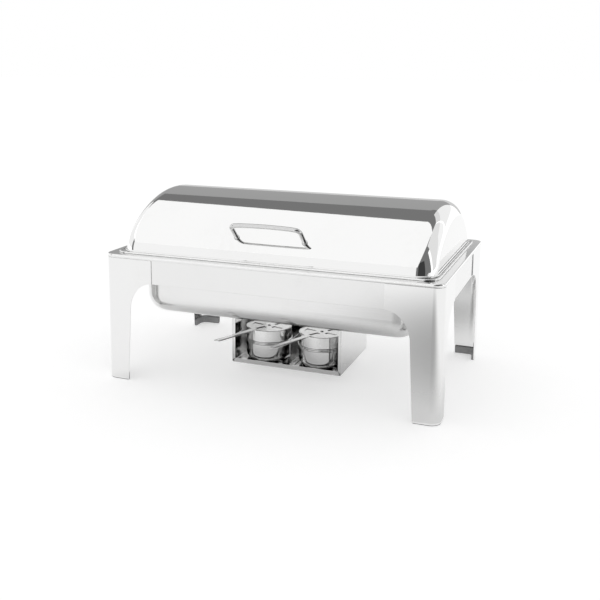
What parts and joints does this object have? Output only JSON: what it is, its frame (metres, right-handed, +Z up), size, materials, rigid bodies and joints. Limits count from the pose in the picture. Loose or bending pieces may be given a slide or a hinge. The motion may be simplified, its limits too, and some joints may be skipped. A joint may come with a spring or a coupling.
{
  "type": "chafing dish food warmer",
  "caption": "Rectangular stainless chafing dish: arched hinged lid with a bar handle, rolled rim frame on gusseted legs, water and food pans, and a hung tray with covered fuel burners.",
  "frame": {"origin": "centre of the base, on the table, under the middle of the outside box", "axes": "+X along the length to the right, +Y to the back, +Z up; metres"},
  "size_m": [0.62, 0.394, 0.3383],
  "materials": {
    "polished_steel": "mirror-polished stainless steel, neutral",
    "satin_steel": "bright rolled stainless sheet, slightly hazy",
    "fixing_steel": "plain bright screws, rivets, nuts and hinge leaves",
    "burner_steel": "pressed bright sheet",
    "wick_fibre": "pale fibre wadding inside the burners",
    "foot_rubber": "matt black pads under the legs"
  },
  "bodies": {
    "root": {"frame_rim": "polished_steel", "leg_front_left": "polished_steel", "leg_front_right": "polished_steel", "leg_back_left": "polished_steel", "leg_back_right": "polished_steel", "foot_front_left": "foot_rubber", "foot_front_right": "foot_rubber", "foot_back_left": "foot_rubber", "foot_back_right": "foot_rubber", "water_pan": "satin_steel", "burner_holder": "satin_steel", "holder_divider": "satin_steel", "holder_nut_front_left": "fixing_steel", "holder_nut_front_right": "fixing_steel", "holder_nut_back_left": "fixing_steel", "holder_nut_back_right": "fixing_steel", "hinge_frame_leaf_left": "fixing_steel", "hinge_frame_leaf_right": "fixing_steel", "hinge_pin_left": "fixing_steel", "hinge_pin_right": "fixing_steel", "frame_rivet_left_outer": "fixing_steel", "frame_rivet_left_inner": "fixing_steel", "frame_rivet_right_outer": "fixing_steel", "frame_rivet_right_inner": "fixing_steel"},
    "lid": {"lid_shell": "polished_steel", "lid_handle": "polished_steel", "handle_washer_left": "fixing_steel", "handle_washer_right": "fixing_steel", "handle_screw_left": "fixing_steel", "handle_screw_right": "fixing_steel", "hinge_lid_leaf_left": "fixing_steel", "hinge_lid_leaf_right": "fixing_steel", "lid_rivet_left_outer": "fixing_steel", "lid_rivet_left_inner": "fixing_steel", "lid_rivet_right_outer": "fixing_steel", "lid_rivet_right_inner": "fixing_steel"},
    "food_pan": {"food_pan": "polished_steel"},
    "burner_left": {"burner_cup_left": "burner_steel", "burner_wick_left": "wick_fibre", "burner_cover_left": "burner_steel", "burner_rivet_left": "burner_steel"},
    "regulator_left": {"burner_regulator_left": "burner_steel"},
    "burner_right": {"burner_cup_right": "burner_steel", "burner_wick_right": "wick_fibre", "burner_cover_right": "burner_steel", "burner_rivet_right": "burner_steel"},
    "regulator_right": {"burner_regulator_right": "burner_steel"}
  },
  "joints": [
    {"name": "lid_hinge", "type": "hinge", "parent": "root", "child": "lid", "pos_m": [0, 0.1932, 0.2394], "axis": [-1, 0, 0], "range_deg": [0, 90]},
    {"name": "food_pan_lift", "type": "slide", "parent": "root", "child": "food_pan", "axis": [0, 0, 1], "range_m": [0, 0.008]},
    {"name": "burner_lift_left", "type": "slide", "parent": "root", "child": "burner_left", "axis": [0, 0, 1], "range_m": [0, 0.03]},
    {"name": "regulator_turn_left", "type": "hinge", "parent": "burner_left", "child": "regulator_left", "pos_m": [-0.0535, -0.0273, 0.082], "axis": [0, 0, 1], "range_deg": [0, 34]},
    {"name": "burner_lift_right", "type": "slide", "parent": "root", "child": "burner_right", "axis": [0, 0, 1], "range_m": [0, 0.03]},
    {"name": "regulator_turn_right", "type": "hinge", "parent": "burner_right", "child": "regulator_right", "pos_m": [0.0535, -0.0273, 0.082], "axis": [0, 0, 1], "range_deg": [0, 34]}
  ]
}
